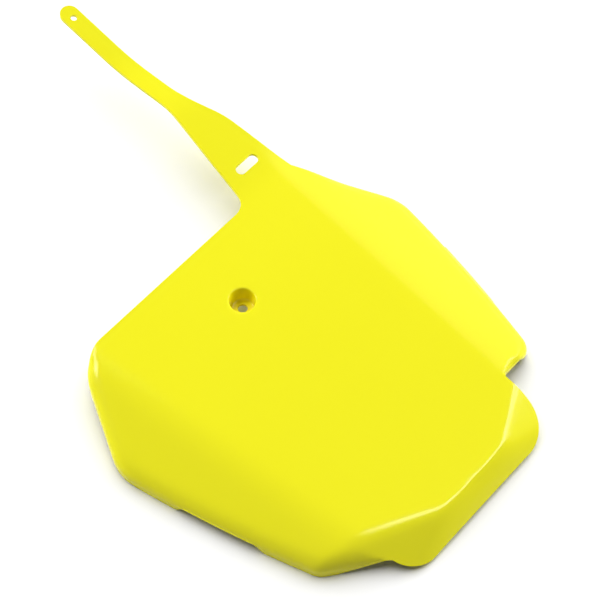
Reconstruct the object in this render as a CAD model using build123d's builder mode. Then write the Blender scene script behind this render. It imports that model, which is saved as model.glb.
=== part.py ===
from build123d import *
import os
from math import atan2, degrees, radians, sin, tan

# Racing number board: one moulded plastic sheet that is screwed to the front of a motorbike.
# The origin is where the screw head seats, on the axis of the screw hole.
# X runs across the board, +Y towards the tip of the fixing strap and +Z out of the face.

# Sheet, face and wings
wall = 2.2
face_rise = 22.5  # face above the level the lips rest on, at the screw
face_fall = 1.9  # degrees the face falls towards the chin
fold_half = 91.2  # half width of the face between the wing folds, at the screw
fold_splay = 5.0  # degrees each fold leans outward towards the top edge
wing_fold = 13.85  # degrees each wing is bent down
fold_radius = 85.0
rim_radius = 6.0  # rolled edge between face and lip

# Outline seen from the front, measured from the screw axis
top_edge = 46.0
shoulder_half = 97.2
widest_half = 132.4
widest_y = -19.5
widest_radius = 30.0
edge_bulge = 2.3
foot_half = 100.6
foot_y = -152.8
foot_radius = 13.0
left_root_x = -72.0  # where the left foot runs into the chin
left_root_drop = 22.2  # fall of the left foot's edge on its way there

# Lips under the wings
lip_gap_start = -60.0  # raised stretch of each lip, along Y
lip_gap_end = -118.0
lip_gap_rise = 6.0
lip_gap_slant = 7.0
lip_slope_start = -35.0  # above here the lips grow shallower towards the shoulders
shoulder_lip_y = 35.0  # where the lips end
shoulder_lip_rise = 5.5
shoulder_half_cut = 88.0  # start of the slanted left shoulder, along the top edge
shoulder_radius = 15.0
shoulder_drop = 32.0  # fall of the slanted shoulder line out to the widest point
right_lip_slant = 11.0  # height of the slanted end of the right lip
root_lip_start = -92.0  # the left lip tapers off towards the chin
root_lip_rise = 7.5

# Hose notch between the right foot and the chin
notch_y = -153.6
notch_x = 70.0
notch_lip = 6.0

# Chin
chin_y = -196.0
chin_rise = 3.2  # chin edge above the resting level
chin_shift = 4.0  # middle of the chin, to the right of the screw
chin_half = 59.0  # half width of the steep middle face, along the chin edge
chin_side = 67.5
chin_corner_radius = 24.0
brow_setback = 8.0  # crease between face and chin, behind the chin edge
flank_slope = 29.0
flank_turn = 25.4
chin_blend_radius = 20.0
brow_radius = 6.0
chin_trim = 1.8

# Sunk screw cup
cup_depth = 10.0
cup_rim_diameter = 17.4
cup_seat_diameter = 14.4
cup_floor = 2.5
cup_rim_radius = 2.0
screw_hole_diameter = 6.4

# Fixing strap
strap_x = 76.7
strap_width = 13.4
strap_end = 235.0
strap_root_half = 23.0  # half width of the flare at the top edge
strap_flare_end = 131.0
strap_root_radius = 12.0
strap_flare_radius = 90.0
strap_right_root = 19.5  # half width of the right side, which keeps inside the shoulder
strap_hip_half = 16.2  # the right side bulges at the hip
strap_hip_drop = 30.0  # hip below the end of the flare
strap_hip_radius = 60.0
strap_rise_start = 54.0  # side view: the strap climbs, runs level, then curls up
strap_level_start = 125.0
strap_level_end = 177.0
strap_level_rise = 36.5
strap_end_rise = 52.5
strap_bend_radius = 120.0
tip_hole_y = 224.2
tip_hole_diameter = 4.3
slot_y = 66.3
slot_length = 18.5
slot_width = 7.0

# Working room around the finished form, removed again by the cuts
spare = 24.0
seam_overlap = 6.0

rest_level = cup_depth - face_rise
block_height = 2 * strap_end_rise
left_root_y = foot_y - left_root_drop
brow_y = chin_y + brow_setback
face_plane = Plane((0, 0, cup_depth), x_dir=(1, 0, 0), z_dir=Vector(0, 0, 1).rotate(Axis.X, face_fall))


def level(rise):
    """Height of a point that lies the given rise above the resting level."""
    return rest_level + rise


def face_height(y):
    """Height of the front of the face at the given distance from the screw."""
    return cup_depth + y * tan(radians(face_fall))


def wing_plane(side):
    """Plane of the left (-1) or right (1) wing."""
    along_fold = Vector(side * tan(radians(fold_splay)), 1, tan(radians(face_fall)))
    outward = Vector(side, 0, -tan(radians(wing_fold)))
    return Plane((side * fold_half, 0, cup_depth), z_dir=outward.cross(along_fold) * side)


def chin_plane():
    """Plane of the steep middle of the chin."""
    steepness = degrees(atan2(face_height(brow_y) - level(chin_rise), brow_y - chin_y))
    return Plane((0, chin_y, level(chin_rise)), z_dir=Vector(0, 0, 1).rotate(Axis.X, steepness))


def flank_plane(side):
    """Plane of the shallow left (-1) or right (1) flank of the chin."""
    normal = Vector(0, 0, 1).rotate(Axis.X, flank_slope).rotate(Axis.Z, side * flank_turn)
    return Plane((chin_shift + side * chin_half, chin_y, level(chin_rise)), z_dir=normal)


def ridge_radius():
    """Radius of the chin's ridges, limited by the middle of the chin, which is narrowest at the brow."""
    middle = chin_plane().z_dir
    flank = flank_plane(1).z_dir
    ridge = middle.cross(flank)
    brow_half = chin_half + brow_setback * ridge.X / ridge.Y
    ridge_angle = radians(ridge.get_angle(Vector(1, 0, 0)))
    turn = radians(middle.get_angle(flank))
    return min(chin_blend_radius, (brow_half - wall) * sin(ridge_angle) / tan(turn / 2))


def nearest_edge(body, point):
    """The edge of a body that passes closest to a point."""
    return body.edges().sort_by_distance(point)[0]


def raw_block():
    """Plain block that the face and the chin are cut from."""
    with BuildPart() as block:
        with Locations((0, (top_edge + chin_y) / 2, 0)):
            Box(2 * (widest_half + spare), top_edge - chin_y + 4 * spare, block_height)
    return block.part


def face_form(inset):
    """Block under the face and the folded wings, the inset below the front of the sheet."""
    with BuildPart() as block:
        add(raw_block())
        split(bisect_by=face_plane.offset(-inset), keep=Keep.BOTTOM)
        for side in (-1, 1):
            split(bisect_by=wing_plane(side).offset(-inset), keep=Keep.BOTTOM)
        folds = [nearest_edge(block, (side * fold_half, 0, cup_depth - inset)) for side in (-1, 1)]
        fillet(folds, fold_radius - inset)
    return block.part


def chin_half_form(side, inset):
    """Block under the middle of the chin and one flank, with the rounded ridge between them."""
    with BuildPart() as block:
        add(raw_block())
        split(bisect_by=chin_plane().offset(-inset), keep=Keep.BOTTOM)
        split(bisect_by=flank_plane(side).offset(-inset), keep=Keep.BOTTOM)
        ridge = nearest_edge(block, (chin_shift + side * chin_half, chin_y, level(chin_rise)))
        fillet(ridge, ridge_radius() - inset)
    return block.part


def chin_form(inset):
    """Block under the whole front, with the three faces of the chin and the rounded brow above them."""
    with BuildPart() as block:
        add(face_form(inset))
        for side in (-1, 1):
            add(chin_half_form(side, inset), mode=Mode.INTERSECT)
        fillet(nearest_edge(block, (chin_shift, brow_y, face_height(brow_y) - inset)), brow_radius - inset)
    return block.part


def side_form(face, side, inset):
    """Walled block of one side of the board, with its rolled rim, inset from the outside of the sheet."""
    edge_lean = (widest_half - shoulder_half) / (top_edge - widest_y)
    upper_x = side * (shoulder_half - spare * edge_lean)
    widest = (side * widest_half, widest_y)
    if side < 0:
        foot = (side * foot_half, foot_y)
        root_lean = (left_root_y - foot_y) / (left_root_x + foot_half)
        lower = [(left_root_x + (chin_y - left_root_y) / root_lean, chin_y), (seam_overlap, chin_y)]
    else:
        foot = (side * foot_half, notch_y)
        lower = [(-seam_overlap, notch_y)]
    with BuildPart() as body:
        with BuildSketch(Plane.XY.offset(rest_level)) as outline:
            with BuildLine():
                Line((upper_x, top_edge + spare), widest)
                SagittaArc(widest, foot, side * edge_bulge)
                Polyline(foot, *lower, (-side * seam_overlap, top_edge + spare), (upper_x, top_edge + spare))
            make_face()
            fillet(outline.vertices().sort_by_distance(widest)[0], widest_radius)
            fillet(outline.vertices().sort_by_distance(foot)[0], foot_radius)
            if inset:
                offset(amount=-inset, kind=Kind.INTERSECTION, mode=Mode.REPLACE)
        extrude(amount=block_height / 2)
        add(face, mode=Mode.INTERSECT)
        rim_point = (side * (widest_half + foot_half) / 2, (widest_y + foot_y) / 2, level(face_rise / 2))
        fillet(nearest_edge(body, rim_point), rim_radius - inset)
    return body.part


def plan_block(points, corner_radius=0):
    """Upright block with the given plan, whose two lowest corners may be rounded."""
    with BuildPart() as body:
        with BuildSketch(Plane.XY.offset(rest_level)) as plan:
            with BuildLine():
                Polyline(*points, close=True)
            make_face()
            if corner_radius:
                fillet(plan.vertices().group_by(Axis.Y)[0], corner_radius)
        extrude(amount=block_height / 2)
    return body.part


def solid_form(chin_plan, corner_radius, inset):
    """The board as a solid block, the inset inside its outer surfaces."""
    face = face_form(inset)
    with BuildPart() as body:
        add(plan_block(chin_plan, corner_radius))
        for side in (-1, 1):
            add(side_form(face, side, inset))
        add(chin_form(inset), mode=Mode.INTERSECT)
    return body.part


def profile(plane, points):
    """Closed straight-sided profile on a plane."""
    with BuildSketch(plane) as sketch:
        with BuildLine():
            Polyline(*points, close=True)
        make_face()
    return sketch.sketch


# Plan of the chin, and of the hollow behind it, which is open at the free edges
chin_top = notch_y + 2 * rim_radius
chin_plan = [
    (-chin_side, chin_top),
    (-chin_side, chin_y),
    (chin_side, chin_y),
    (notch_x, notch_y),
    (notch_x, chin_top),
]
chin_hollow_plan = [
    (left_root_x, chin_top),
    (left_root_x, chin_y - spare),
    (notch_x + spare, chin_y - spare),
    (notch_x, notch_y),
    (chin_side, notch_y),
    (chin_side, chin_top),
]

with BuildPart() as strap:
    strap_half = strap_width / 2
    root_y = top_edge - spare / 2
    with BuildSketch(Plane.YZ):
        with BuildLine():
            start = (root_y, face_height(root_y))
            climb = (strap_rise_start, face_height(strap_rise_start))
            level_run = [(strap_level_start, level(strap_level_rise)), (strap_level_end, level(strap_level_rise))]
            finish = (strap_end + strap_half, level(strap_end_rise))
            FilletPolyline(start, climb, *level_run, finish, radius=strap_bend_radius)
            offset(amount=wall, side=Side.RIGHT)
        make_face()
    extrude(amount=2 * strap_x, both=True)
    with BuildSketch(Plane.XY.offset(rest_level)) as outline:
        left_root = (strap_x - strap_root_half, top_edge)
        left_neck = (strap_x - strap_half, strap_flare_end)
        right_neck = (strap_x + strap_half, strap_flare_end)
        right_hip = (strap_x + strap_hip_half, strap_flare_end - strap_hip_drop)
        right_root = (strap_x + strap_right_root, top_edge)
        tip_centre = (strap_x, strap_end - strap_half)
        with BuildLine():
            Polyline(
                (left_root[0] - spare / 2, root_y),
                (left_root[0] - spare / 2, top_edge),
                left_root,
                left_neck,
                (left_neck[0], tip_centre[1]),
                (right_neck[0], tip_centre[1]),
                right_neck,
                right_hip,
                right_root,
                (strap_x, top_edge),
                (strap_x, root_y),
                close=True,
            )
        make_face()
        fillet(outline.vertices().sort_by_distance(left_root)[0], strap_root_radius)
        for neck in (left_neck, right_neck):
            fillet(outline.vertices().sort_by_distance(neck)[0], strap_flare_radius)
        fillet(outline.vertices().sort_by_distance(right_hip)[0], strap_hip_radius)
        with Locations(tip_centre):
            Circle(strap_half)
        with Locations((strap_x, slot_y)):
            SlotOverall(slot_length, slot_width, mode=Mode.SUBTRACT)
    extrude(amount=block_height, mode=Mode.INTERSECT)
    tip_lean = atan2(finish[1] - level_run[1][1], finish[0] - level_run[1][0])
    tip_height = finish[1] - (finish[0] - tip_hole_y) * tan(tip_lean)
    tip_normal = Vector(0, 0, 1).rotate(Axis.X, degrees(tip_lean))
    with Locations(Plane((strap_x, tip_hole_y, tip_height), z_dir=tip_normal)):
        Hole(tip_hole_diameter / 2)

with BuildPart() as number_board:
    add(solid_form(chin_plan, chin_corner_radius, 0))
    hollow = solid_form(chin_hollow_plan, 0, wall)
    add(hollow, mode=Mode.SUBTRACT)

    # Top edge and slanted left shoulder
    far = 2 * widest_half
    with BuildSketch(Plane.XY.offset(rest_level)):
        with BuildLine():
            FilletPolyline(
                (far, top_edge),
                (-shoulder_half_cut, top_edge),
                (-widest_half, top_edge - shoulder_drop),
                (-far, top_edge - shoulder_drop),
                (-far, far),
                (far, far),
                radius=(0, shoulder_radius, 0, 0, 0, 0),
                close=True,
            )
        make_face()
    extrude(amount=block_height, mode=Mode.SUBTRACT)

    # Both lips grow shallower towards the shoulders, and the right one ends on a slant
    lip_slope = [
        (lip_slope_start, level(-spare)),
        (lip_slope_start, level(0)),
        (shoulder_lip_y, level(shoulder_lip_rise)),
        (top_edge, level(shoulder_lip_rise + right_lip_slant)),
        (top_edge, level(-spare)),
    ]
    extrude(profile(Plane.YZ, lip_slope), amount=far, both=True, mode=Mode.SUBTRACT)

    # Raised stretch of both lips
    lip_gap = [
        (lip_gap_start, level(-spare)),
        (lip_gap_start, level(0)),
        (lip_gap_start - lip_gap_slant, level(lip_gap_rise)),
        (lip_gap_end + lip_gap_slant, level(lip_gap_rise)),
        (lip_gap_end, level(0)),
        (lip_gap_end, level(-spare)),
    ]
    extrude(profile(Plane.YZ, lip_gap), amount=far, both=True, mode=Mode.SUBTRACT)

    # Shallow lip along the hose notch
    notch_lip_level = face_height(notch_y) - notch_lip
    notch_lip_cut = [
        (chin_side - wall, level(-spare)),
        (chin_side - wall, notch_lip_level),
        (foot_half - foot_radius, notch_lip_level),
        (foot_half, level(0)),
        (foot_half, level(-spare)),
    ]
    notch_plane = Plane.XZ.offset(-notch_y - foot_radius)
    extrude(profile(notch_plane, notch_lip_cut), amount=foot_radius + wall, mode=Mode.SUBTRACT)

    # Tapered end of the left lip
    root_lip_cut = [
        (root_lip_start, level(-spare)),
        (root_lip_start, level(0)),
        (left_root_x, level(root_lip_rise)),
        (left_root_x, level(-spare)),
    ]
    extrude(profile(Plane.XZ.offset(-foot_y), root_lip_cut), amount=foot_y - chin_y, mode=Mode.SUBTRACT)

    # Lower edge of the chin
    chin_cut = [
        (brow_y, level(-spare)),
        (brow_y, level(chin_trim)),
        (chin_y - spare, level(chin_trim)),
        (chin_y - spare, level(-spare)),
    ]
    extrude(profile(Plane.YZ, chin_cut), amount=2 * chin_side, both=True, mode=Mode.SUBTRACT)
    add(strap.part)

    # Sunk screw cup
    rim_half = cup_rim_diameter / 2
    seat_half = cup_seat_diameter / 2
    taper = (rim_half - seat_half) / cup_depth
    boss = [
        (0, -cup_floor),
        (seat_half + wall, -cup_floor),
        (rim_half + wall, cup_depth - wall / 2),
        (0, cup_depth - wall / 2),
    ]
    revolve(profile(Plane.XZ, boss), axis=Axis.Z)
    recess = [
        (0, 0),
        (seat_half, 0),
        (rim_half + taper * wall, cup_depth + wall),
        (0, cup_depth + wall),
    ]
    revolve(profile(Plane.XZ, recess), axis=Axis.Z, mode=Mode.SUBTRACT)
    Hole(screw_hole_diameter / 2)
    rims = number_board.edges().filter_by(GeomType.ELLIPSE).sort_by_distance((rim_half, 0, cup_depth))
    fillet(rims[0], cup_rim_radius)

number_board.part.label = "number_board"
os.makedirs("parts", exist_ok=True)
export_step(number_board.part, "parts/number_board.step")
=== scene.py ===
"""Racing number board in glossy moulded plastic, lying on a white studio floor."""

import logging
from dataclasses import dataclass, field
from enum import Enum, IntEnum
from math import cos, radians, sin

import bmesh
import bpy
import numpy as np
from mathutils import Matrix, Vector


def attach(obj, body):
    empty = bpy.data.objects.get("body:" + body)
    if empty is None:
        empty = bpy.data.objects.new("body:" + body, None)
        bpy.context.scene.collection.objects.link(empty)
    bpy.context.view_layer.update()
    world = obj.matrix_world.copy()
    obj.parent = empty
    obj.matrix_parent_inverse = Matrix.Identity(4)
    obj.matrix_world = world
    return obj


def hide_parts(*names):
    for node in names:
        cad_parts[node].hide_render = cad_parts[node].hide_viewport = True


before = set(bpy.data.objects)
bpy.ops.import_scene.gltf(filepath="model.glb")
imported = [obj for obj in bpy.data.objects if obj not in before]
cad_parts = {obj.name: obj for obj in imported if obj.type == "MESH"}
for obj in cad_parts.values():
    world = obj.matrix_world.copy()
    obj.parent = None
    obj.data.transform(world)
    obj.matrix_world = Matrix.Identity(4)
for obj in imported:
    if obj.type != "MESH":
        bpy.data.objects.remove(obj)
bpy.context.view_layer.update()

log = logging.getLogger("number_board")

MM = 0.001
"""Metres in a millimetre: shapes are worked out in millimetres from the screw seat."""

WELD_REACH = 1e-6
"""Metres within which points of neighbouring patches become one."""

LEAST_ARC_POINTS = 2
"""Fewest points on a rounded corner, however small its turn."""

IN_PLAN = (1.0, 1.0, 0.0)
"""Factors that keep a place's x and y and drop its height."""

WHITE = (1.0, 1.0, 1.0, 1.0)

Array = np.ndarray

Point = tuple[float, float]
"""Plan place, x and y."""

Span = tuple[float, float]
"""Start and end of a range."""

Colour = tuple[float, float, float]

Place = tuple[float, float, float]


def soft_min(first: Array, second: Array, width: float) -> Array:
    """Lower of two heights, rounded by a parabola where they differ by less than the width.

    Args:
        first: Heights of one surface.
        second: Heights of the other surface.
        width: Height difference over which the crease between them is rounded.

    Returns:
        min(a, b) - max(width - |a - b|, 0)^2 / (4 width).
    """
    overlap = np.clip(width - np.abs(first - second), 0.0, None)
    return np.minimum(first, second) - overlap**2 / (4.0 * width)


def soft_max(first: Array, second: Array, width: float) -> Array:
    """Higher of two heights, rounded like soft_min."""
    return -soft_min(-np.asarray(first), -np.asarray(second), width)


def smooth_step(value: Array, start: float, end: float) -> Array:
    """Cubic ramp from 0 at start to 1 at end."""
    t = np.clip((np.asarray(value) - start) / (end - start), 0.0, 1.0)
    return t * t * (3.0 - 2.0 * t)


def rounded_path(corners: list[tuple[Point, float]], spacing: float, arc_step: float) -> Array:
    """Closed plan path of straight runs and tangent arcs.

    Each corner with a radius is replaced by the arc that touches both its runs, which starts
    radius * tan(turn / 2) before the corner.

    Args:
        corners: Corner points with their radii, anticlockwise.
        spacing: Greatest distance between points, in millimetres.
        arc_step: Greatest turn between points on an arc, in degrees.

    Returns:
        Points of the path, one row each, without a repeat of the first.
    """
    points = np.array([corner for corner, _ in corners])
    stretches = []
    leave = None
    for index, (corner, radius) in enumerate(corners):
        here = np.array(corner)
        back = points[index - 1] - here
        ahead = points[(index + 1) % len(points)] - here
        back /= np.linalg.norm(back)
        ahead /= np.linalg.norm(ahead)
        turn = np.pi - np.arccos(np.clip(back @ ahead, -1.0, 1.0))
        reach = radius * np.tan(turn / 2.0)
        enter = here + back * reach
        if leave is not None:
            stretches.append(straight_run(leave, enter, spacing))
        if radius > 0.0:
            step = min(np.radians(arc_step), spacing / radius)
            stretches.append(corner_arc(here, back, ahead, radius, turn, step))
        leave = here + ahead * reach
        if index == 0:
            first_enter = enter
    stretches.append(straight_run(leave, first_enter, spacing))
    return np.concatenate(stretches)


def straight_run(start: Array, end: Array, spacing: float) -> Array:
    """Evenly spaced points from start up to, and without, end.

    Args:
        start: First point of the run.
        end: Point that the run stops short of.
        spacing: Greatest distance between points.

    Returns:
        Points, one row each.
    """
    count = max(int(np.ceil(np.linalg.norm(end - start) / spacing)), 1)
    t = np.arange(count)[:, None] / count
    return start + (end - start) * t


def corner_arc(
    corner: Array, back: Array, ahead: Array, radius: float, turn: float, arc_step: float
) -> Array:
    """Points along the arc that rounds a corner, without its last point.

    Args:
        corner: The sharp corner.
        back: Direction from the corner to the run before it.
        ahead: Direction from the corner to the run after it.
        radius: Radius of the arc.
        turn: Angle between the two runs' directions, in radians.
        arc_step: Greatest turn between points, in radians.

    Returns:
        centre + radius * (cos, sin) turned evenly from the first touching point to the second.
    """
    bisector = back + ahead
    centre = corner + bisector / np.linalg.norm(bisector) * radius / np.cos(turn / 2.0)
    first = corner + back * radius * np.tan(turn / 2.0) - centre
    last = corner + ahead * radius * np.tan(turn / 2.0) - centre
    count = max(int(np.ceil(turn / arc_step)), LEAST_ARC_POINTS)
    t = np.arange(count) / count
    blend = np.sin((1.0 - t) * turn)[:, None] * first + np.sin(t * turn)[:, None] * last
    return centre + blend / np.sin(turn)


@dataclass(frozen=True)
class FrontForm:
    """Front of the board: face, folded wings and faceted chin, in millimetres and degrees."""

    cup_depth: float = 10.0
    face_rise: float = 22.5
    face_fall: float = 1.9
    fold_half: float = 91.2
    fold_splay: float = 5.0
    wing_fold: float = 13.85
    fold_blend: float = 2.6
    chin_y: float = -196.0
    chin_rise: float = 3.2
    chin_shift: float = 4.0
    chin_half: float = 59.0
    brow_y: float = -188.0
    flank_slope: float = 29.0
    flank_turn: float = 25.4
    ridge_blend: float = 8.0
    brow_radius: float = 12.0
    brow_end_radius: float = 20.0
    widest_brow: float = 11.0
    brow_left_end: Span = (5.0, 62.0)
    brow_right_end: Span = (45.0, 78.0)
    slope_step: float = 0.05

    @property
    def rest_level(self) -> float:
        """Height of the floor that the lips stand on."""
        return self.cup_depth - self.face_rise

    @property
    def fall(self) -> float:
        """Rise of the face for each millimetre towards the strap."""
        return np.tan(np.radians(self.face_fall))

    def face(self, y: Array) -> Array:
        """Height of the flat face."""
        return self.cup_depth + self.fall * y

    def sides(self, x: Array, y: Array) -> Array:
        """Face with both wings: each wing is a plane that falls away outside its fold line.

        Args:
            x: Places across the board.
            y: Places along the board.

        Returns:
            Heights, in the shape of the places.
        """
        fold = self.fold_half + y * np.tan(np.radians(self.fold_splay))
        bend = np.tan(np.radians(self.wing_fold))
        wing = self.face(y) - (np.abs(x) - fold) * bend
        return soft_min(self.face(y), wing, self.fold_blend)

    def chin(self, x: Array, y: Array) -> Array:
        """Chin: a steep middle face and two shallow flanks, three planes rounded together.

        Args:
            x: Places across the board.
            y: Places along the board.

        Returns:
            Heights, in the shape of the places.
        """
        low = self.rest_level + self.chin_rise
        steepness = (self.face(self.brow_y) - low) / (self.brow_y - self.chin_y)
        middle = low + (y - self.chin_y) * steepness
        slope = np.tan(np.radians(self.flank_slope))
        turn = np.radians(self.flank_turn)
        across = np.abs(x - self.chin_shift) - self.chin_half
        flank = low + slope * ((y - self.chin_y) * np.cos(turn) - across * np.sin(turn))
        return soft_min(middle, flank, self.ridge_blend)

    def brow_blend(self, x: Array, y: Array) -> Array:
        """Width over which the brow between face and chin is rounded, as a height difference.

        It is half the radius times the squared slope between them, up to a widest value. The
        radius grows towards both ends, where the brow dies out in the rolled rim and at the notch.

        Args:
            x: Places across the board.
            y: Places along the board.

        Returns:
            Widths, in the shape of the places.
        """
        step = self.slope_step
        here = self.chin(x, y)
        across = (self.chin(x + step, y) - here) / step
        along = (self.chin(x, y + step) - here) / step - self.fall
        ending = smooth_step(-x, *self.brow_left_end) + smooth_step(x, *self.brow_right_end)
        radius = self.brow_radius + (self.brow_end_radius - self.brow_radius) * ending
        return np.minimum(radius / 2.0 * (across**2 + along**2), self.widest_brow)

    def sheet(self, x: Array, y: Array) -> Array:
        """Whole front before its rim is rolled: the sides, cut lower by the chin."""
        return soft_min(self.sides(x, y), self.chin(x, y), self.brow_blend(x, y))


@dataclass(frozen=True)
class BoardOutline:
    """Plan outline of the board, in millimetres and degrees."""

    top_edge: float = 46.0
    shoulder_half: float = 97.2
    shoulder_radius: float = 31.0
    strap_left: float = 43.8
    widest: Point = (132.4, -19.5)
    widest_radius: float = 30.0
    crown: Point = (120.4, -87.1)
    crown_radius: float = 900.0
    foot_half: float = 100.6
    foot_y: float = -152.8
    foot_radius: float = 13.0
    left_root: Point = (-72.0, -175.0)
    left_nook: Point = (-66.3, -179.4)
    left_nook_radius: float = 6.0
    left_chin_corner: Point = (-60.9, -196.0)
    left_chin_radius: float = 21.0
    right_chin_corner: Point = (67.5, -196.0)
    right_chin_radius: float = 24.0
    notch: Point = (70.0, -153.6)
    notch_radius: float = 3.5
    spacing: float = 2.2
    arc_step: float = 7.0

    def points(self) -> Array:
        """Outline of straight runs and arcs, from the right shoulder along the top edge first.

        Returns:
            Points anticlockwise, one row each.
        """
        corners = [
            ((self.shoulder_half, self.top_edge), 0.0),
            ((self.strap_left, self.top_edge), 0.0),
            ((-self.shoulder_half, self.top_edge), self.shoulder_radius),
            (self.mirrored(self.widest), self.widest_radius),
            (self.mirrored(self.crown), self.crown_radius),
            ((-self.foot_half, self.foot_y), self.foot_radius),
            (self.left_root, 0.0),
            (self.left_nook, self.left_nook_radius),
            (self.left_chin_corner, self.left_chin_radius),
            (self.right_chin_corner, self.right_chin_radius),
            (self.notch, self.notch_radius),
            ((self.foot_half, self.notch[1]), self.foot_radius),
            (self.crown, self.crown_radius),
            (self.widest, self.widest_radius),
        ]
        return rounded_path(corners, self.spacing, self.arc_step)

    @staticmethod
    def mirrored(point: Point) -> Point:
        """The same point on the left side."""
        return (-point[0], point[1])


@dataclass(frozen=True)
class LipForm:
    """Rolled rim and lips under the wings, in millimetres."""

    rim_width: float = 9.5
    rim_depth: float = 6.5
    rim_power: float = 2.3
    notch_fade: float = 24.0
    notch_reach: float = 26.0
    strap_fade: float = 36.0
    gap_low_end: float = -118.0
    gap_high_end: float = -60.0
    gap_ramp: float = 4.5
    gap_rise: float = 6.0
    slope_start: float = -35.0
    shoulder_y: float = 35.0
    shoulder_rise: float = 5.5
    left_end_rise: float = 24.0
    right_end_rise: float = 16.5
    root_start: float = -92.0
    root_rise: float = 7.5
    notch_taper: Span = (87.6, 100.6)
    notch_rise: float = 11.4
    shortest: float = 0.8

    def rise(self, outline: BoardOutline, points: Array, gap_rise: float) -> Array:
        """Lower edge of the lips above the floor, straight runs between a few named levels.

        Args:
            outline: Plan outline of the board.
            points: Points of the rim.
            gap_rise: Height of the gap in the lip of each wing.

        Returns:
            Heights, one for each point.
        """
        x, y = points.T
        ramps = [self.gap_low_end + self.gap_ramp, self.gap_high_end - self.gap_ramp]
        stations = [self.gap_low_end, *ramps, self.gap_high_end]
        stations += [self.slope_start, self.shoulder_y, outline.top_edge]
        levels = [0.0, gap_rise, gap_rise, 0.0, 0.0, self.shoulder_rise]
        left = np.interp(y, stations, [*levels, self.left_end_rise])
        right = np.interp(y, stations, [*levels, self.right_end_rise])
        side = np.where(x < 0.0, left, right)
        root = self.root_rise * (x - self.root_start) / (outline.left_root[0] - self.root_start)
        notch = np.interp(x, self.notch_taper, (self.notch_rise, 0.0))
        low = y < outline.foot_y + outline.foot_radius
        side = np.where(low & (x < 0.0), np.maximum(side, root), side)
        return np.where(low & (x > 0.0), np.maximum(side, notch), side)

    def roll(self, outline: BoardOutline, points: Array, room: Array) -> Array:
        """Depth of the rolled rim, which fades out at the notch and at the strap.

        Args:
            outline: Plan outline of the board.
            points: Points of the rim.
            room: Height of the lip below each point.

        Returns:
            The full depth times the fade, and no more than the lip has room for.
        """
        x, y = points.T
        notch_x, notch_y = outline.notch
        notch = np.sqrt(smooth_step(x, notch_x, notch_x + self.notch_fade))
        strap = smooth_step(outline.top_edge - y, 0.0, self.strap_fade)
        on_notch = y < notch_y + self.notch_reach
        fade = np.where(x < 0.0, 1.0, np.where(on_notch, notch, strap))
        return np.clip(room, 0.0, self.rim_depth * fade)

    def drop(self, depth: Array, inside: Array) -> Array:
        """How far the rolled rim lies below the unrolled sheet.

        Its section is a quarter of a superellipse, which leaves the sheet with no kink and ends
        upright: depth (1 - (1 - (1 - inside / width)^power)^(1 / power)).

        Args:
            depth: Depth of the roll at the rim.
            inside: Distance from the rim.

        Returns:
            Drops, in the shape of the distances.
        """
        width = depth * self.rim_width / self.rim_depth
        inner = np.clip(width - inside, 0.0, None) / np.where(width > 0.0, width, 1.0)
        return depth * (1.0 - (1.0 - inner**self.rim_power) ** (1.0 / self.rim_power))


@dataclass(frozen=True)
class CupForm:
    """Sunk cup round the screw, turned about the screw axis, in millimetres."""

    hole_radius: float = 3.2
    seat_radius: float = 7.2
    rim_radius: float = 8.3
    corner_round: float = 0.9
    rim_round: float = 1.1
    seat_points: int = 4
    arc_points: int = 7
    wall_points: int = 6

    def section(self, depth: float) -> Array:
        """Radius and height along the cup, from the screw hole up to the face.

        Args:
            depth: Depth of the cup's seat below the face.

        Returns:
            Rows of (radius, height): seat, rounded corner, tapered wall and rounded rim.
        """
        lean = np.arctan2(self.rim_radius - self.seat_radius, depth)
        seat_end = self.seat_radius - self.corner_round
        seat = np.linspace(self.hole_radius, seat_end, self.seat_points)
        turn = np.linspace(-np.pi / 2.0, -lean, self.arc_points)
        corner = np.stack([np.cos(turn), 1.0 + np.sin(turn)], 1) * self.corner_round
        corner[:, 0] += seat_end
        roll = np.linspace(np.pi - lean, np.pi / 2.0, self.arc_points)
        rim = np.stack([1.0 + np.cos(roll), np.sin(roll) - 1.0], 1) * self.rim_round
        rim += (self.rim_radius, depth)
        climb = np.linspace(0.0, 1.0, self.wall_points)[1:-1, None]
        wall = corner[-1] + (rim[0] - corner[-1]) * climb
        floor = np.stack([seat, np.zeros_like(seat)], 1)[:-1]
        return np.concatenate([floor, corner, wall, rim])


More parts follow.
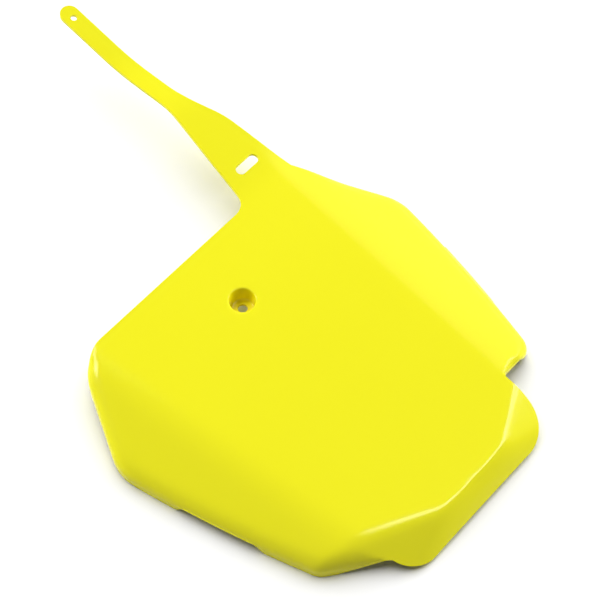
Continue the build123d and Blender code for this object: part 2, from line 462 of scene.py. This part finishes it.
@dataclass(frozen=True)
class StrapForm:
    """Fixing strap above the right shoulder, in millimetres."""

    centre_x: float = 76.7
    width: float = 13.4
    end: float = 234.4
    root_left: float = 53.7
    root_round: float = 12.0
    root_meets: float = 9.7
    root_top: float = 10.8
    hip: Point = (92.9, 101.0)
    hip_blend: float = 1.7
    neck_y: float = 131.0
    neck_left_blend: float = 1.64
    neck_right_blend: float = 4.4
    climb_start: float = 54.0
    level_start: float = 125.0
    level_end: float = 177.0
    level_rise: float = 36.5
    end_rise: float = 52.5
    end_rise_y: float = 241.7
    bend_blends: tuple[float, float, float] = (1.14, 1.76, 3.6)
    settle: float = 40.0
    slot_y: float = 66.3
    slot_length: float = 18.5
    slot_width: float = 7.0
    slot_margin: float = 6.0
    tip_hole_y: float = 224.2
    tip_hole_radius: float = 2.15
    tip_margin: float = 8.0
    side_steps: int = 8
    end_steps: int = 32
    ring_steps: int = 4
    row_length: float = 2.0

    def left(self, y: Array, outline: BoardOutline) -> Array:
        """Left edge: a straight flare rounded into the narrow strap, with a rounded root below.

        Args:
            y: Places along the strap.
            outline: Plan outline of the board.

        Returns:
            Places of the edge across the board.
        """
        narrow = self.centre_x - self.width / 2.0
        slope = (narrow - self.root_left) / (self.neck_y - outline.top_edge)
        flare = self.root_left + (y - outline.top_edge) * slope
        edge = soft_min(flare, narrow, self.neck_left_blend)
        height = np.clip(outline.top_edge + self.root_round - y, 0.0, self.root_round)
        root = outline.strap_left + np.sqrt(self.root_round**2 - height**2)
        return np.where(y < outline.top_edge + self.root_meets, root, edge)

    def right(self, y: Array, outline: BoardOutline) -> Array:
        """Right edge: from the shoulder over a rounded hip to the narrow strap.

        Args:
            y: Places along the strap.
            outline: Plan outline of the board.

        Returns:
            Places of the edge across the board.
        """
        hip_x, hip_y = self.hip
        narrow = self.centre_x + self.width / 2.0
        lower = hip_x + (y - hip_y) * (hip_x - outline.shoulder_half) / (hip_y - outline.top_edge)
        upper = hip_x + (y - hip_y) * (narrow - hip_x) / (self.neck_y - hip_y)
        return soft_max(soft_min(lower, upper, self.hip_blend), narrow, self.neck_right_blend)

    def height(self, y: Array, form: FrontForm) -> Array:
        """Side view of the strap: in line with the face, then a climb, a level run and a curl.

        Args:
            y: Places along the strap.
            form: Front surface of the board.

        Returns:
            Heights of these four straight lines rounded together, in the shape of the places.
        """
        level = form.rest_level + self.level_rise
        climb_slope = (level - form.face(self.climb_start)) / (self.level_start - self.climb_start)
        curl_slope = (self.end_rise - self.level_rise) / (self.end_rise_y - self.level_end)
        climb = level + (y - self.level_start) * climb_slope
        curl = level + (y - self.level_end) * curl_slope
        first, second, third = self.bend_blends
        lower = soft_min(soft_max(form.face(y), climb, first), level, second)
        return soft_max(lower, curl, third)


class MeshPatches:
    """Collects grid patches of one surface and welds them into a mesh."""

    def __init__(self) -> None:
        """Starts with no vertices and no faces."""
        self.vertices: list[Array] = []
        self.faces: list[Array] = []
        self.count = 0

    def add(self, grid: Array, closed: bool = False) -> None:
        """Adds a grid of points as quads.

        Args:
            grid: Points as rows x columns x 3, rows outward and columns anticlockwise.
            closed: Whether the last column joins the first.
        """
        rows, columns = grid.shape[:2]
        index = np.arange(rows * columns).reshape(rows, columns) + self.count
        if closed:
            index = np.concatenate([index, index[:, :1]], 1)
        quads = np.stack([index[:-1, :-1], index[1:, :-1], index[1:, 1:], index[:-1, 1:]], -1)
        self.vertices.append(grid.reshape(-1, 3))
        self.faces.append(quads.reshape(-1, 4))
        self.count += rows * columns

    def mesh(self, name: str) -> bpy.types.Mesh:
        """Welds the patches along their shared edges into one smooth mesh, in metres.

        Args:
            name: Name of the mesh.

        Returns:
            The welded mesh.
        """
        vertices = np.concatenate(self.vertices) * MM
        faces = np.concatenate(self.faces)
        mesh = bpy.data.meshes.new(name)
        mesh.from_pydata(vertices.tolist(), [], faces.tolist())
        welded = bmesh.new()
        welded.from_mesh(mesh)
        bmesh.ops.remove_doubles(welded, verts=welded.verts, dist=WELD_REACH)
        welded.to_mesh(mesh)
        welded.free()
        mesh.shade_smooth()
        mesh.update()
        return mesh


@dataclass
class NumberBoard:
    """The moulded board: one continuous sheet with a wall of even thickness."""

    form: FrontForm = field(default_factory=FrontForm)
    outline: BoardOutline = field(default_factory=BoardOutline)
    lips: LipForm = field(default_factory=LipForm)
    cup: CupForm = field(default_factory=CupForm)
    strap: StrapForm = field(default_factory=StrapForm)
    wall: float = 2.2
    edge_round: float = 0.5
    edge_segments: int = 2
    edge_angle: float = 50.0
    rows: int = 64
    fine_rows: int = 420
    turn_weight: float = 18.0
    ray_crowding: float = 1.6
    even_columns: int = 4
    last_share: float = 1.0 - 1e-9
    near_samples: int = 40

    def __post_init__(self) -> None:
        """Works out the outline, the stretches with a lip and how deep their rim is rolled."""
        outline = self.outline
        self.rim = outline.points()
        left_start = np.flatnonzero(self.rim[:, 1] < outline.top_edge)[0] - 1
        self.left_run = np.arange(left_start, self.nearest(outline.left_nook) + 1)
        self.right_run = np.append(np.arange(self.nearest(outline.notch), len(self.rim)), 0)
        self.rolled = np.zeros(len(self.rim), bool)
        self.rolled[self.left_run] = True
        self.rolled[self.right_run] = True
        self.low = self.form.rest_level + self.lips.rise(outline, self.rim, self.lips.gap_rise)
        ungapped = self.form.rest_level + self.lips.rise(outline, self.rim, 0.0)
        highest = self.form.sheet(*self.rim.T) - self.lips.shortest
        roll = np.where(self.rolled, self.lips.roll(outline, self.rim, highest - ungapped), 0.0)
        for run in (self.left_run, self.right_run):
            roll[run[[0, -1]]] = 0.0
        self.roll = np.stack([roll, np.clip(highest - self.low, 0.0, None)], -1)

    def nearest(self, point: Point) -> int:
        """Index of the outline point closest to a plan point."""
        return int(np.argmin(np.linalg.norm(self.rim - np.array(point), axis=1)))

    def from_rim(self, points: Array, column: Array) -> tuple[Array, Array]:
        """Distance from the rolled rim, and the depth of the roll and the room below it there.

        The closest rolled outline point is looked for near each column. The distance is then
        measured to the straight pieces on both sides of it, and depth and room are shared between
        the ends of the closer one.

        Args:
            points: Plan points, rows x columns x 2.
            column: Outline index of each column.

        Returns:
            Distances, rows x columns, and depths with rooms, rows x columns x 2.
        """
        window = column[:, None] + np.arange(-self.near_samples, self.near_samples + 1)
        window %= len(self.rim)
        gap = np.linalg.norm(points[:, :, None] - self.rim[window], axis=-1)
        gap = np.where(self.rolled[window], gap, np.inf)
        best = np.argmin(gap, -1)
        near = window[np.arange(len(column)), best]
        inside = np.min(gap, -1)
        depth = self.roll[near]
        for step in (-1, 1):
            other = (near + step) % len(self.rim)
            along = self.rim[other] - self.rim[near]
            offset = points - self.rim[near]
            share = np.clip(np.sum(offset * along, -1) / np.sum(along * along, -1), 0.0, 1.0)
            aside = np.linalg.norm(offset - along * share[..., None], axis=-1)
            closer = aside < inside
            inside = np.where(closer, aside, inside)
            shared = self.roll[near] + (self.roll[other] - self.roll[near]) * share[..., None]
            depth = np.where(closer[..., None], shared, depth)
        return inside, depth

    def height(self, points: Array, column: Array) -> Array:
        """Height of the front of the sheet with its rolled rim.

        Args:
            points: Plan points, rows x columns x 2.
            column: Outline index of each column.

        Returns:
            Heights, rows x columns.
        """
        inside, roll = self.from_rim(points, column)
        drop = np.minimum(self.lips.drop(roll[..., 0], inside), roll[..., 1])
        return self.form.sheet(points[..., 0], points[..., 1]) - drop

    def build(self) -> MeshPatches:
        """Builds the front surface as patches that share their edges.

        Returns:
            The cup and face, both lips and the strap.
        """
        patches = MeshPatches()
        face = self.face_grid()
        patches.add(self.cup_grid(face[0]), closed=True)
        patches.add(face, closed=True)
        for run in (self.left_run, self.right_run):
            patches.add(self.lip_grid(face[-1], run))
        self.add_strap(patches, face[-1])
        return patches

    def face_grid(self) -> Array:
        """Rays from the cup to the outline, with rows closer together where the sheet turns.

        Along each ray the rows share out its length plus a weight for each turn of the surface,
        and the shares of neighbouring rays are averaged so that no row jumps. All rays are read
        from one long scale, so a ray's last share stays just below the start of the next ray.

        Returns:
            Points, rows x columns x 3, from the cup out to the outline.
        """
        column = np.arange(len(self.rim))
        start = self.cup.section(self.form.cup_depth)[-1, 0]
        direction = self.rim / np.linalg.norm(self.rim, axis=1, keepdims=True)
        fraction = 1.0 - (1.0 - np.linspace(0.0, 1.0, self.fine_rows)) ** self.ray_crowding
        plan = direction * start + (self.rim - direction * start) * fraction[:, None, None]
        fine = np.concatenate([plan, self.height(plan, column)[..., None]], -1)
        step = np.diff(fine, axis=0)
        length = np.linalg.norm(step, axis=-1)
        slope = np.arctan2(step[..., 2], np.linalg.norm(step[..., :2], axis=-1))
        turn = np.abs(np.diff(slope, axis=0, prepend=slope[:1]))
        weight = length + self.turn_weight * turn
        reach = np.concatenate([np.zeros((1, len(column))), np.cumsum(weight, 0)])
        reach /= reach[-1]
        known = (reach + column).T.ravel()
        even = np.linspace(0.0, 1.0, self.rows)[:, None] * self.last_share
        wanted = (even + column).T.ravel()
        share = np.interp(wanted, known, np.tile(fraction, len(column)))
        share = share.reshape(len(column), self.rows).T
        shifts = range(-self.even_columns, self.even_columns + 1)
        share = np.mean([np.roll(share, shift, 1) for shift in shifts], 0)
        share[0] = 0.0
        share[-1] = 1.0
        plan = direction * start + (self.rim - direction * start) * share[..., None]
        return np.concatenate([plan, self.height(plan, column)[..., None]], -1)

    def cup_grid(self, edge: Array) -> Array:
        """Cup section turned about the screw, stretched a little to end on the sloping face.

        Args:
            edge: First row of the face, round the cup.

        Returns:
            Points, rows x columns x 3, from the screw hole up to the face.
        """
        section = self.cup.section(self.form.cup_depth)
        direction = edge[:, :2] / np.linalg.norm(edge[:, :2], axis=1, keepdims=True)
        plan = direction[None] * section[:, 0, None, None]
        height = section[:, 1, None] * (edge[:, 2] / self.form.cup_depth)[None]
        return np.concatenate([plan, height[..., None]], -1)

    def lip_grid(self, edge: Array, run: Array) -> Array:
        """Upright lip below one stretch of the rim.

        Args:
            edge: Last row of the face, along the rim.
            run: Outline indices of the stretch.

        Returns:
            Points, 2 x columns x 3: the rim and the lower edge of the lip.
        """
        top = edge[run]
        low = np.minimum(self.low[run], top[:, 2] - self.lips.shortest)
        bottom = np.concatenate([top[:, :2], low[:, None]], 1)
        return np.stack([top, bottom])

    def add_strap(self, patches: MeshPatches, edge: Array) -> None:
        """Adds the strap as four patches: root, slot, run and tip.

        Args:
            patches: Patches that the strap joins.
            edge: Last row of the face, whose first points are the seam with the strap.
        """
        strap, outline = self.strap, self.outline
        seam = edge[: self.nearest((outline.strap_left, outline.top_edge)) + 1]
        across = (outline.shoulder_half - seam[:, 0]) / (outline.shoulder_half - outline.strap_left)
        root_turn = np.arccos(1.0 - strap.root_top / strap.root_round)
        turn = np.linspace(0.0, 1.0, strap.side_steps) * root_turn
        root_y = outline.top_edge + strap.root_round * (1.0 - np.cos(turn))
        slot_low = root_y[-1]
        slot_high = strap.slot_y + strap.slot_width / 2.0 + strap.slot_margin
        tip_low = strap.tip_hole_y - strap.tip_margin
        run_y = np.linspace(slot_high, tip_low, int((tip_low - slot_high) / strap.row_length))
        patches.add(self.lift(self.strip(root_y, across), seam))
        patches.add(self.lift(self.strip(run_y, across), seam))
        slot = self.slot_ring(across, slot_low, slot_high)
        patches.add(self.lift(slot, seam), closed=True)
        patches.add(self.lift(self.tip_ring(across, tip_low), seam), closed=True)

    def strip(self, y: Array, across: Array) -> Array:
        """Plan points between the strap's right and left edges.

        Args:
            y: Place of each row along the strap.
            across: Shares of the width, from 0 at the right edge to 1 at the left.

        Returns:
            Plan points, rows x columns x 2.
        """
        right = self.strap.right(y, self.outline)
        left = self.strap.left(y, self.outline)
        x = right[:, None] + (left - right)[:, None] * across
        return np.stack([x, np.broadcast_to(y[:, None], x.shape)], -1)

    def edges(self, y: Array) -> tuple[Array, Array]:
        """Points up the right edge of the strap and back down its left edge.

        Args:
            y: Places along the strap, upwards.

        Returns:
            Plan points of the right edge, and of the left edge downwards.
        """
        right = np.stack([self.strap.right(y, self.outline), y], 1)
        left = np.stack([self.strap.left(y, self.outline), y], 1)
        return right, left[::-1]

    def slot_ring(self, across: Array, low: float, high: float) -> Array:
        """Patch round the slot: rows run from the slot's edge out to the edges of the strap.

        Each point of the outer loop is joined to the closest point of the slot, which is a core
        line widened by half the slot's width.

        Args:
            across: Shares of the strap's width along the lower and the upper row.
            low: Place of the lower row along the strap.
            high: Place of the upper row along the strap.

        Returns:
            Plan points, rows x columns x 2.
        """
        strap = self.strap
        y = np.linspace(low, high, strap.side_steps + 1)
        right, left = self.edges(y[1:-1])
        lower = self.strip(np.array([low]), across)[0][::-1]
        upper = self.strip(np.array([high]), across)[0]
        loop = np.concatenate([lower, right, upper, left])
        half_core = (strap.slot_length - strap.slot_width) / 2.0
        core_x = np.clip(loop[:, 0], strap.centre_x - half_core, strap.centre_x + half_core)
        core = np.stack([core_x, np.full_like(core_x, strap.slot_y)], 1)
        return self.ring(core, strap.slot_width / 2.0, loop)

    def tip_ring(self, across: Array, low: float) -> Array:
        """Patch round the tip hole, out to the rounded end of the strap.

        Args:
            across: Shares of the strap's width along the lower row.
            low: Place of the lower row along the strap.

        Returns:
            Plan points, rows x columns x 2.
        """
        strap = self.strap
        half = strap.width / 2.0
        centre_y = strap.end - half
        y = np.linspace(low, centre_y, strap.side_steps + 1)
        right, left = self.edges(y[1:])
        lower = self.strip(np.array([low]), across)[0][::-1]
        angle = np.linspace(0.0, np.pi, strap.end_steps + 1)[1:-1]
        end = np.stack([strap.centre_x + half * np.cos(angle), centre_y + half * np.sin(angle)], 1)
        loop = np.concatenate([lower, right, end, left])
        core = np.broadcast_to(np.array([strap.centre_x, strap.tip_hole_y]), loop.shape)
        return self.ring(core, strap.tip_hole_radius, loop)

    def ring(self, core: Array, radius: float, loop: Array) -> Array:
        """Plan rows from the circle or slot round a core straight out to a loop.

        Args:
            core: Core point of the hole for each point of the loop.
            radius: Half width of the hole.
            loop: Outer loop of the patch.

        Returns:
            Plan points, rows x columns x 2.
        """
        away = loop - core
        inner = core + away / np.linalg.norm(away, axis=1, keepdims=True) * radius
        share = np.linspace(0.0, 1.0, self.strap.ring_steps + 1)[:, None, None]
        return inner + (loop - inner) * share

    def lift(self, plan: Array, seam: Array) -> Array:
        """Raises plan points of the strap to its side view, settling onto the seam at its root.

        Args:
            plan: Plan points, rows x columns x 2.
            seam: Points of the face's edge that the strap grows from.

        Returns:
            Points, rows x columns x 3.
        """
        y = plan[..., 1]
        height = self.strap.height(y, self.form)
        order = np.argsort(seam[:, 0])
        level = self.strap.height(np.array([self.outline.top_edge]), self.form)[0]
        offset = np.interp(plan[..., 0], seam[order, 0], seam[order, 2]) - level
        settled = 1.0 - smooth_step(y - self.outline.top_edge, 0.0, self.strap.settle)
        return np.concatenate([plan, (height + offset * settled)[..., None]], -1)

    def dress(
        self, patches: MeshPatches, front: bpy.types.Material, back: bpy.types.Material
    ) -> bpy.types.Object:
        """Makes the object, gives the sheet its wall and rounds its cut edges.

        Args:
            patches: The front surface.
            front: Material of the front and the edges.
            back: Material of the back.

        Returns:
            The finished piece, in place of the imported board.
        """
        piece = bpy.data.objects.new("moulded_board", patches.mesh("moulded_board"))
        bpy.context.scene.collection.objects.link(piece)
        piece.data.materials.append(front)
        piece.data.materials.append(back)
        wall = piece.modifiers.new("wall", "SOLIDIFY")
        wall.thickness = self.wall * MM
        wall.offset = -1.0
        wall.use_even_offset = True
        wall.material_offset = 1
        wall.material_offset_rim = 0
        edges = piece.modifiers.new("edges", "BEVEL")
        edges.width = self.edge_round * MM
        edges.segments = self.edge_segments
        edges.limit_method = "ANGLE"
        edges.angle_limit = np.radians(self.edge_angle)
        edges.harden_normals = True
        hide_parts("number_board")
        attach(piece, "root")
        return piece


class MixSocket(IntEnum):
    """Places of the colour sockets on a Mix node, on which several sockets share a name."""

    FACTOR = 0
    FIRST = 6
    SECOND = 7
    RESULT = 2


class Side(Enum):
    """Which side of the sheet a finish is for."""

    FRONT = "front"
    BACK = "back"


@dataclass(frozen=True)
class PlasticFinish:
    """Moulded plastic: faint flow marks in colour and gloss, a fine grain and a painted shade in
    the cup, in metres.
    """

    side: Side
    colour: Colour
    deep_colour: Colour
    cup_shade_colour: Colour
    roughness: Span
    grain_size: float
    grain_height: float
    # Radii over which the painted shade in the cup fades out.
    cup_shade_edge: Span = (0.0075, 0.0096)
    ior: float = 1.49
    specular_level: float = 0.25

    def material(self, grain: bpy.types.NodeTree) -> bpy.types.Material:
        """Builds the node material.

        Args:
            grain: Shared group of the moulding grain.

        Returns:
            A Principled material fed by the grain group.
        """
        made = bpy.data.materials.new(f"plastic_{self.side.value}")
        made.use_nodes = True
        nodes, links = made.node_tree.nodes, made.node_tree.links
        shader = nodes["Principled BSDF"]
        shader.inputs["IOR"].default_value = self.ior
        shader.inputs["Specular IOR Level"].default_value = self.specular_level
        group = nodes.new("ShaderNodeGroup")
        group.node_tree = grain
        group.inputs["Grain Size"].default_value = self.grain_size
        group.inputs["Low Roughness"].default_value = self.roughness[0]
        group.inputs["High Roughness"].default_value = self.roughness[1]
        group.inputs["Colour"].default_value = (*self.colour, 1.0)
        group.inputs["Deep Colour"].default_value = (*self.deep_colour, 1.0)
        bump = nodes.new("ShaderNodeBump")
        bump.inputs["Distance"].default_value = self.grain_height
        links.new(self.paint_cup_shade(made.node_tree, group.outputs["Colour"]), shader.inputs["Base Color"])
        links.new(group.outputs["Roughness"], shader.inputs["Roughness"])
        links.new(group.outputs["Height"], bump.inputs["Height"])
        links.new(bump.outputs["Normal"], shader.inputs["Normal"])
        return made

    def paint_cup_shade(
        self, tree: bpy.types.NodeTree, colour: bpy.types.NodeSocket
    ) -> bpy.types.NodeSocket:
        """Paints a darker amber shade into the colour inside the cup, standing in for the shade and
        bounced light in that recess.

        Args:
            tree: Node tree of the material.
            colour: Colour of the open surface.

        Returns:
            The colour with the painted shade within the cup's radius of the screw axis.
        """
        nodes, links = tree.nodes, tree.links
        place = nodes.new("ShaderNodeTexCoord")
        flat = nodes.new("ShaderNodeVectorMath")
        flat.operation = "MULTIPLY"
        flat.inputs[1].default_value = IN_PLAN
        radius = nodes.new("ShaderNodeVectorMath")
        radius.operation = "LENGTH"
        within = nodes.new("ShaderNodeMapRange")
        within.interpolation_type = "SMOOTHSTEP"
        within.inputs["From Min"].default_value = self.cup_shade_edge[1]
        within.inputs["From Max"].default_value = self.cup_shade_edge[0]
        mix = nodes.new("ShaderNodeMix")
        mix.data_type = "RGBA"
        # Painted shade: an amber tone mixed in inside the cup, so the recess looks darker under any
        # light.
        mix.inputs[MixSocket.SECOND].default_value = (*self.cup_shade_colour, 1.0)
        links.new(place.outputs["Object"], flat.inputs[0])
        links.new(flat.outputs["Vector"], radius.inputs[0])
        links.new(radius.outputs["Value"], within.inputs["Value"])
        links.new(within.outputs["Result"], mix.inputs[MixSocket.FACTOR])
        links.new(colour, mix.inputs[MixSocket.FIRST])
        return mix.outputs[MixSocket.RESULT]


FRONT_FINISH = PlasticFinish(
    side=Side.FRONT,
    colour=(0.91, 0.865, 0.004),
    deep_colour=(0.885, 0.835, 0.003),
    # The cup's colour below is painted shade for the recess round the screw.
    cup_shade_colour=(0.9, 0.79, 0.003),
    roughness=(0.11, 0.16),
    grain_size=0.0012,
    grain_height=0.000004,
)

BACK_FINISH = PlasticFinish(
    side=Side.BACK,
    colour=(0.91, 0.86, 0.006),
    deep_colour=(0.87, 0.82, 0.004),
    # The cup's colour below is painted shade for the recess round the screw.
    cup_shade_colour=(0.87, 0.76, 0.004),
    roughness=(0.38, 0.5),
    grain_size=0.0009,
    grain_height=0.00003,
)


@dataclass(frozen=True)
class MouldingGrain:
    """Flow marks and fine grain of the moulding, a node group that both finishes share."""

    flow_scale: float = 9.0
    flow_detail: float = 3.0
    fine_detail: float = 2.0

    def group(self) -> bpy.types.NodeTree:
        """Builds the group: flow marks in colour and roughness, and the fine grain in height.

        Returns:
            The node group, with the sizes and colours of a finish as its inputs.
        """
        group = bpy.data.node_groups.new("moulding_grain", "ShaderNodeTree")
        for name in ("Grain Size", "Low Roughness", "High Roughness"):
            group.interface.new_socket(name, in_out="INPUT", socket_type="NodeSocketFloat")
        for name in ("Colour", "Deep Colour"):
            group.interface.new_socket(name, in_out="INPUT", socket_type="NodeSocketColor")
        group.interface.new_socket("Colour", in_out="OUTPUT", socket_type="NodeSocketColor")
        for name in ("Roughness", "Height"):
            group.interface.new_socket(name, in_out="OUTPUT", socket_type="NodeSocketFloat")
        nodes, links = group.nodes, group.links
        entry = nodes.new("NodeGroupInput")
        leave = nodes.new("NodeGroupOutput")
        place = nodes.new("ShaderNodeTexCoord")
        flow = nodes.new("ShaderNodeTexNoise")
        flow.inputs["Scale"].default_value = self.flow_scale
        flow.inputs["Detail"].default_value = self.flow_detail
        links.new(place.outputs["Object"], flow.inputs["Vector"])
        mix = nodes.new("ShaderNodeMix")
        mix.data_type = "RGBA"
        links.new(flow.outputs["Fac"], mix.inputs[MixSocket.FACTOR])
        links.new(entry.outputs["Colour"], mix.inputs[MixSocket.FIRST])
        links.new(entry.outputs["Deep Colour"], mix.inputs[MixSocket.SECOND])
        links.new(mix.outputs[MixSocket.RESULT], leave.inputs["Colour"])
        scale = nodes.new("ShaderNodeMath")
        scale.operation = "DIVIDE"
        scale.inputs[0].default_value = 1.0
        links.new(entry.outputs["Grain Size"], scale.inputs[1])
        fine = nodes.new("ShaderNodeTexNoise")
        fine.inputs["Detail"].default_value = self.fine_detail
        links.new(place.outputs["Object"], fine.inputs["Vector"])
        links.new(scale.outputs[0], fine.inputs["Scale"])
        links.new(fine.outputs["Fac"], leave.inputs["Height"])
        rough = nodes.new("ShaderNodeMapRange")
        links.new(flow.outputs["Fac"], rough.inputs["Value"])
        links.new(entry.outputs["Low Roughness"], rough.inputs["To Min"])
        links.new(entry.outputs["High Roughness"], rough.inputs["To Max"])
        links.new(rough.outputs["Result"], leave.inputs["Roughness"])
        return group


def towards(azimuth: float, elevation: float) -> Vector:
    """Unit vector in a direction given in degrees.

    Args:
        azimuth: Turn from +X, anticlockwise seen from above.
        elevation: Angle above the floor.

    Returns:
        (cos e cos a, cos e sin a, sin e).
    """
    level = cos(radians(elevation))
    turn = radians(azimuth)
    return Vector((level * cos(turn), level * sin(turn), sin(radians(elevation))))


class LampRole(Enum):
    """What a lamp is for."""

    LIGHT = "even light on the board"
    GLOSS = "reflections in the gloss of the board"


@dataclass(frozen=True)
class Lamp:
    """A flat studio lamp.

    Directions are in degrees, distance and width in metres, height in widths, power in watts.
    """

    name: str
    role: LampRole
    azimuth: float
    elevation: float
    distance: float
    size: float
    power: float
    tall: float = 1.0

    def hang(self, target: Vector, lit: bpy.types.Collection) -> None:
        """Hangs the lamp in its direction from the target and turns it there.

        Args:
            target: Point that the lamp faces.
            lit: The only objects that the lamp lights.
        """
        data = bpy.data.lights.new(self.name, "AREA")
        data.shape = "RECTANGLE"
        data.size = self.size
        data.size_y = self.size * self.tall
        data.energy = self.power
        lamp = bpy.data.objects.new(self.name, data)
        away = towards(self.azimuth, self.elevation)
        lamp.location = target + away * self.distance
        lamp.rotation_euler = away.to_track_quat("Z", "Y").to_euler()
        lamp.visible_camera = False
        lamp.visible_glossy = self.role is LampRole.GLOSS
        lamp.visible_diffuse = self.role is not LampRole.GLOSS
        lamp.light_linking.receiver_collection = lit
        bpy.context.scene.collection.objects.link(lamp)


@dataclass(frozen=True)
class Studio:
    """White floor, soft light and the camera.

    Places and the floor are in metres, angles in degrees, lens and sensor in millimetres, and
    the floor's light in watts for each square metre.
    """

    floor_size: float = 40.0
    floor_level: float = -0.0125
    floor_colour: float = 0.9
    floor_bounce: float = 0.75
    floor_light: float = 6.5
    floor_spread: float = 130.0
    floor_light_azimuth: float = 45.0
    floor_light_elevation: float = 30.0
    sky: float = 0.1
    target: Place = (0.0342, -0.0180, -0.0125)
    eye: Place = (-0.4072, -0.4117, 0.9719)
    lens: float = 107.4
    sensor: float = 36.0
    clip_end: float = 20.0
    lamp_target: Place = (0.0, -0.06, 0.0)
    lamps: tuple[Lamp, ...] = (
        Lamp("overhead", LampRole.LIGHT, 75.0, 62.0, 3.2, 0.8, 35.0),
        Lamp("back_box", LampRole.LIGHT, 107.0, 27.0, 3.6, 3.0, 121.0),
        Lamp("front_box", LampRole.LIGHT, 336.0, 18.0, 3.6, 2.4, 140.0),
        Lamp("right_panel", LampRole.GLOSS, 5.0, 33.0, 2.4, 2.2, 20.0),
        Lamp("flank_panel", LampRole.GLOSS, 339.0, 35.0, 2.4, 0.9, 6.0),
        Lamp("brow_light", LampRole.GLOSS, 338.0, 66.0, 1.6, 0.36, 8.5, 1.9),
        Lamp("notch_light", LampRole.GLOSS, 342.0, 48.0, 1.6, 0.4, 4.0),
        Lamp("rim_light", LampRole.GLOSS, 105.0, 45.0, 1.6, 0.6, 14.0),
    )

    def build(self, board: bpy.types.Object) -> None:
        """Sets up floor, lamps, sky and camera.

        Args:
            board: The piece that the studio shows.
        """
        scene = bpy.context.scene
        scene.view_settings.view_transform = "Standard"
        on_board = self.only(board)
        for lamp in self.lamps:
            lamp.hang(Vector(self.lamp_target), on_board)
        self.light_floor(self.only(self.lay_floor()))
        self.light_sky(scene)
        self.place_camera(scene)

    @staticmethod
    def only(lit: bpy.types.Object) -> bpy.types.Collection:
        """A set that holds one object, for the lamps that light nothing else.

        Args:
            lit: The object.

        Returns:
            The set, which isn't shown itself.
        """
        made = bpy.data.collections.new(f"only_{lit.name}")
        made.objects.link(lit)
        return made

    def lay_floor(self) -> bpy.types.Object:
        """Lays a large matt white floor.

        Returns:
            The floor.
        """
        half = self.floor_size / 2.0
        corners = np.array([(-half, -half), (half, -half), (half, half), (-half, half)])
        levels = np.full((len(corners), 1), self.floor_level)
        mesh = bpy.data.meshes.new("floor")
        mesh.from_pydata(np.hstack([corners, levels]).tolist(), [], [(0, 1, 2, 3)])
        floor = bpy.data.objects.new("floor", mesh)
        bpy.context.scene.collection.objects.link(floor)
        mesh.materials.append(self.floor_material())
        return floor

    def floor_material(self) -> bpy.types.Material:
        """Matt floor, white where it is seen and a quiet grey where it only throws light back.

        Returns:
            The floor's material.
        """
        made = bpy.data.materials.new("white_floor")
        made.use_nodes = True
        nodes, links = made.node_tree.nodes, made.node_tree.links
        nodes.clear()
        out = nodes.new("ShaderNodeOutputMaterial")
        matt = nodes.new("ShaderNodeBsdfDiffuse")
        colour = nodes.new("ShaderNodeMapRange")
        colour.inputs["To Min"].default_value = self.floor_bounce
        colour.inputs["To Max"].default_value = self.floor_colour
        links.new(self.seen_rays(made.node_tree), colour.inputs["Value"])
        links.new(colour.outputs["Result"], matt.inputs["Color"])
        links.new(matt.outputs[0], out.inputs["Surface"])
        return made

    @staticmethod
    def seen_rays(tree: bpy.types.NodeTree) -> bpy.types.NodeSocket:
        """Adds a mask of the rays that see the surroundings directly, in gloss or through glass.

        Args:
            tree: Node tree of the floor's material or of the sky.

        Returns:
            Socket that is 1 on such rays and 0 on all others.
        """
        path = tree.nodes.new("ShaderNodeLightPath")
        seen = path.outputs["Is Camera Ray"]
        for ray in ("Is Glossy Ray", "Is Transmission Ray"):
            either = tree.nodes.new("ShaderNodeMath")
            either.operation = "MAXIMUM"
            tree.links.new(seen, either.inputs[0])
            tree.links.new(path.outputs[ray], either.inputs[1])
            seen = either.outputs[0]
        return seen

    def light_floor(self, lit: bpy.types.Collection) -> None:
        """Even light on the whole floor, as from a wide white ceiling, with soft shadows.

        Args:
            lit: The floor, the only thing that this light falls on.
        """
        data = bpy.data.lights.new("floor_light", "SUN")
        data.energy = self.floor_light
        data.angle = radians(self.floor_spread)
        lamp = bpy.data.objects.new("floor_light", data)
        away = towards(self.floor_light_azimuth, self.floor_light_elevation)
        lamp.rotation_euler = away.to_track_quat("Z", "Y").to_euler()
        lamp.visible_camera = False
        lamp.visible_glossy = False
        lamp.light_linking.receiver_collection = lit
        bpy.context.scene.collection.objects.link(lamp)

    def light_sky(self, scene: bpy.types.Scene) -> None:
        """White surroundings for the camera and in gloss, and a faint light from all round.

        Args:
            scene: Scene that gets the sky.
        """
        world = bpy.data.worlds.new("studio_sky")
        world.use_nodes = True
        scene.world = world
        strength = world.node_tree.nodes.new("ShaderNodeMath")
        strength.operation = "MAXIMUM"
        strength.inputs[1].default_value = self.sky
        sky = world.node_tree.nodes["Background"]
        sky.inputs["Color"].default_value = WHITE
        world.node_tree.links.new(self.seen_rays(world.node_tree), strength.inputs[0])
        world.node_tree.links.new(strength.outputs[0], sky.inputs["Strength"])

    def place_camera(self, scene: bpy.types.Scene) -> None:
        """Puts the camera where the photograph was taken from.

        Args:
            scene: Scene that gets the camera.
        """
        data = bpy.data.cameras.new("camera")
        data.lens = self.lens
        data.sensor_width = self.sensor
        data.clip_end = self.clip_end
        camera = bpy.data.objects.new("camera", data)
        camera.location = self.eye
        ahead = Vector(self.target) - Vector(self.eye)
        camera.rotation_euler = ahead.to_track_quat("-Z", "Y").to_euler()
        scene.collection.objects.link(camera)
        scene.camera = camera


def main() -> None:
    """Builds the board, its finishes and the studio."""
    logging.basicConfig(level=logging.INFO, format="%(message)s")
    grain = MouldingGrain().group()
    board = NumberBoard()
    patches = board.build()
    piece = board.dress(patches, FRONT_FINISH.material(grain), BACK_FINISH.material(grain))
    log.info("%s: %d faces before its wall", piece.name, len(piece.data.polygons))
    Studio().build(piece)


if __name__ == "__main__":
    main()
